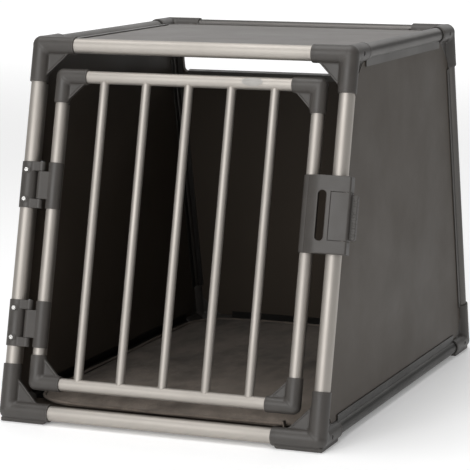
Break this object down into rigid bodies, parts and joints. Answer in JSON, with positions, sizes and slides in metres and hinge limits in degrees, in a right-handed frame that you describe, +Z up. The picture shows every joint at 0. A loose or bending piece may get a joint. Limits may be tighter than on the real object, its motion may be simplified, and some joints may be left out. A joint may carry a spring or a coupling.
{
  "type": "dog transport crate",
  "caption": "Dog transport crate with leaning ends: aluminium tube frame, graphite panels, barred front door on two hinges, side latch and floor mat.",
  "frame": {"origin": "middle of the whole outline in plan, latch grip included, at the level of the feet", "axes": "+Z up, +Y from the door towards the rear wall, +X to the right when facing the door, towards the latch"},
  "size_m": [0.5682, 0.808, 0.6],
  "materials": {
    "anodised_tube": "satin anodised, fine lengthwise brushing",
    "graphite_plastic": "moulded, fine grain, soft sheen",
    "graphite_panel": "smooth satin panel",
    "plush": "short plush pile with a piped edge",
    "steel": "plain machined steel"
  },
  "bodies": {
    "frame": {"front_top_rail": "anodised_tube", "rear_top_rail": "anodised_tube", "front_base_rail": "anodised_tube", "rear_base_rail": "anodised_tube", "left_top_rail": "anodised_tube", "right_top_rail": "anodised_tube", "left_base_rail": "anodised_tube", "right_base_rail": "anodised_tube", "left_front_post": "anodised_tube", "right_front_post": "anodised_tube", "left_rear_post": "anodised_tube", "right_rear_post": "anodised_tube", "corner_front_left_top": "graphite_plastic", "corner_front_right_top": "graphite_plastic", "corner_rear_left_top": "graphite_plastic", "corner_rear_right_top": "graphite_plastic", "corner_front_left_base": "graphite_plastic", "corner_front_right_base": "graphite_plastic", "corner_rear_left_base": "graphite_plastic", "corner_rear_right_base": "graphite_plastic", "roof_panel": "graphite_panel", "floor_panel": "graphite_panel", "left_panel": "graphite_panel", "right_panel": "graphite_panel", "rear_panel": "graphite_panel", "rear_panel_trim": "graphite_plastic", "floor_mat": "plush", "upper_hinge_bracket": "graphite_plastic", "lower_hinge_bracket": "graphite_plastic", "hinge_pins": "steel", "hinge_screws": "steel", "strike_plate": "steel"},
    "door": {"door_left_stile": "anodised_tube", "door_right_stile": "anodised_tube", "door_top_rail": "anodised_tube", "door_bottom_rail": "anodised_tube", "door_bar_1": "anodised_tube", "door_bar_2": "anodised_tube", "door_bar_3": "anodised_tube", "door_bar_4": "anodised_tube", "door_bar_5": "anodised_tube", "door_elbow_left_top": "graphite_plastic", "door_elbow_right_top": "graphite_plastic", "door_elbow_left_base": "graphite_plastic", "door_elbow_right_base": "graphite_plastic", "upper_hinge_leaf": "graphite_plastic", "lower_hinge_leaf": "graphite_plastic", "latch_cover": "graphite_plastic", "latch_screws": "steel", "latch_spring": "steel"},
    "latch_slide": {"latch_slide": "graphite_plastic"}
  },
  "joints": [
    {"name": "door_hinge", "type": "hinge", "parent": "frame", "child": "door", "pos_m": [-0.2472, -0.36194, 0.15237], "axis": [0, -0.2328, -0.9725], "range_deg": [0, 115]},
    {"name": "latch_slide", "type": "slide", "parent": "door", "child": "latch_slide", "axis": [1, 0, 0], "range_m": [0, 0.01], "stiffness_N_per_m": 300, "springref_m": -0.01, "deforming": ["latch_spring"]}
  ]
}
